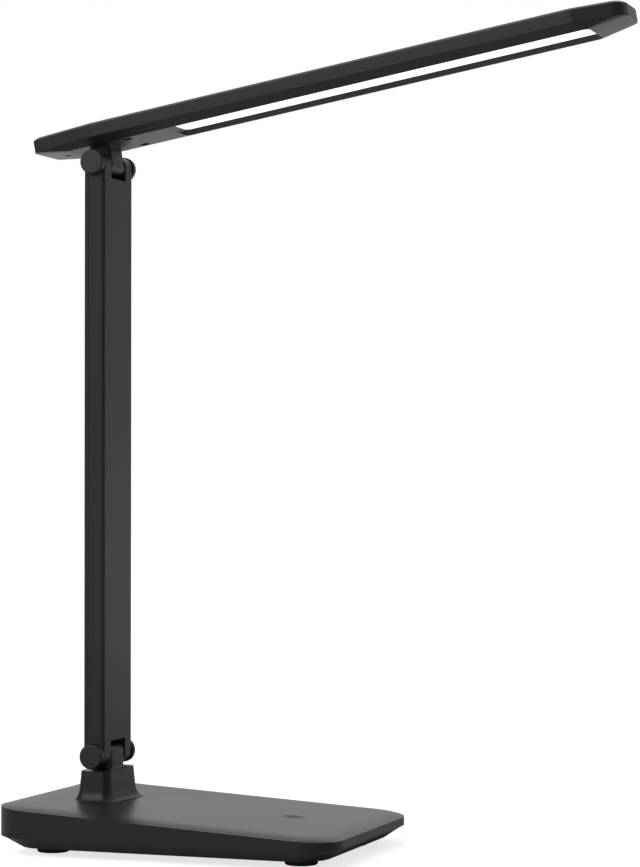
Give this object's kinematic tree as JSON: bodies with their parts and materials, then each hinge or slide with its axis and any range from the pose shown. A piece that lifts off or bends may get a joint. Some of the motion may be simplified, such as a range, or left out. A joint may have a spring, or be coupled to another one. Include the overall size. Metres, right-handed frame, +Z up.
{
  "type": "folding led desk lamp",
  "caption": "Folding LED desk lamp in matt black: low wedge base, flat upright arm and long slim head, joined by two friction hinges",
  "frame": {"origin": "on the desk plane, under the middle of the lamp's overall box; the lower hinge axis stands at x = -119.2 mm, z = 45.7 mm", "axes": "+Z up from the desk, +X from the hinges towards the head's tip, +Y along both hinge axes"},
  "size_m": [0.3102, 0.13, 0.4125],
  "materials": {
    "black_coat": "satin",
    "dark_plastic": "matte",
    "raw_steel": "brushed",
    "zinc_screw": "bright",
    "copper": "plain",
    "alloy": "plain",
    "rubber": "matte",
    "circuit_board": "gloss",
    "wire_jacket": "matte",
    "opal_plastic": "frosted",
    "clear_plastic": "clear",
    "white_plastic": "plain"
  },
  "bodies": {
    "base": {"base_shell": "black_coat", "base_tray": "dark_plastic", "base_weight": "raw_steel", "rubber_feet": "rubber", "base_screws": "zinc_screw", "control_board": "circuit_board", "touch_contact": "copper", "power_socket": "zinc_screw", "socket_board": "circuit_board", "base_wire": "wire_jacket"},
    "arm": {"arm_housing": "black_coat", "arm_cover": "black_coat", "arm_spine": "raw_steel", "spine_screws": "zinc_screw", "arm_wire": "wire_jacket", "lower_hinge_pin": "raw_steel", "upper_hinge_pin": "raw_steel", "hinge_nuts": "zinc_screw", "lower_washers": "copper", "upper_washers": "copper", "lower_caps": "dark_plastic", "upper_caps": "dark_plastic"},
    "head": {"head_shell": "black_coat", "head_cover": "black_coat", "diffuser": "opal_plastic", "light_guide": "clear_plastic", "reflector_sheet": "white_plastic", "led_board": "circuit_board", "leds": "white_plastic", "heat_plate": "alloy", "head_screws": "zinc_screw", "head_wire": "wire_jacket"}
  },
  "joints": [
    {"name": "arm_tilt", "type": "hinge", "parent": "base", "child": "arm", "pos_m": [-0.11916, 0, 0.0457], "axis": [0, 1, 0], "range_deg": [-30, 90]},
    {"name": "head_tilt", "type": "hinge", "parent": "arm", "child": "head", "pos_m": [-0.11916, 0, 0.3457], "axis": [0, 1, 0], "range_deg": [-80, 100]}
  ]
}
